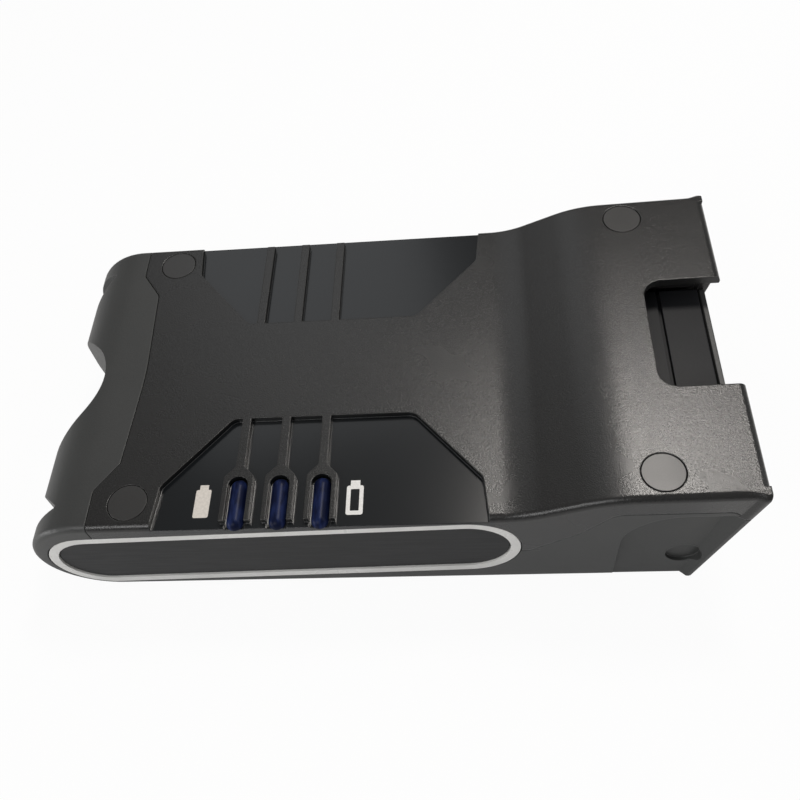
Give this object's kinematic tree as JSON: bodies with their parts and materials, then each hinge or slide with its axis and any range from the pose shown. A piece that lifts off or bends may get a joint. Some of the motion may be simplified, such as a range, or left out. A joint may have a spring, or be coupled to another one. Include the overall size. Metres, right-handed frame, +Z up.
{
  "type": "vacuum cleaner battery pack",
  "caption": "Slide-in cordless vacuum battery: two-piece case with raised terminal end, scooped grip end, lens row and side badge over lithium cells.",
  "frame": {"origin": "middle of the pack's length and width, on the flat surface it rests on", "axes": "+X towards the terminal end, +Z up out of the lens side, -Y out of the side with the badge"},
  "size_m": [0.163, 0.0888, 0.0395],
  "materials": {
    "housing_plastic": "fine texture, matte dark grey ABS",
    "cover_plastic": "fine texture, satin dark warm grey ABS",
    "badge_ring": "light grey, satin",
    "badge_plate": "dark grey, satin, bare",
    "lens": "deep navy tinted, polished",
    "screw_steel": "zinc plated",
    "cell_wrap": "heat-shrink sleeve",
    "nickel": "plain nickel strip",
    "holder_plastic": "black ABS",
    "insulator_paper": "green fish paper",
    "circuit_board": "green solder mask",
    "component_black": "moulded package",
    "component_ceramic": "ceramic body",
    "capacitor_can": "sleeved can",
    "led_white": "clear lens over white package",
    "block_plastic": "black glass-filled nylon",
    "contact_metal": "gold flash",
    "foam": "closed-cell foam"
  },
  "bodies": {
    "root": {"lower_housing": "housing_plastic", "top_cover": "cover_plastic", "badge_ring": "badge_ring", "badge_plate": "badge_plate", "led_lens_1": "lens", "led_lens_2": "lens", "led_lens_3": "lens", "screw_plug_1": "cover_plastic", "screw_plug_2": "cover_plastic", "screw_plug_3": "cover_plastic", "screw_plug_4": "cover_plastic", "case_screws": "screw_steel", "cell_1": "cell_wrap", "cell_2": "cell_wrap", "cell_3": "cell_wrap", "cell_4": "cell_wrap", "cell_5": "cell_wrap", "cell_6": "cell_wrap", "cell_7": "cell_wrap", "cell_holder_front": "holder_plastic", "cell_holder_back": "holder_plastic", "cell_strip_1": "nickel", "cell_strip_2": "nickel", "cell_strip_3": "nickel", "cell_strip_4": "nickel", "cell_strip_5": "nickel", "cell_strip_6": "nickel", "cell_strip_7": "nickel", "cell_strip_8": "nickel", "insulator_front": "insulator_paper", "insulator_back": "insulator_paper", "control_board": "circuit_board", "controller_chip": "component_black", "monitor_chip": "component_black", "mosfets": "component_black", "fuse": "component_ceramic", "shunt_resistor": "contact_metal", "capacitors": "capacitor_can", "status_leds": "led_white", "thermistor": "component_black", "foam_pad": "foam", "terminal_block": "block_plastic", "terminal_contacts": "contact_metal"}
  },
  "joints": []
}
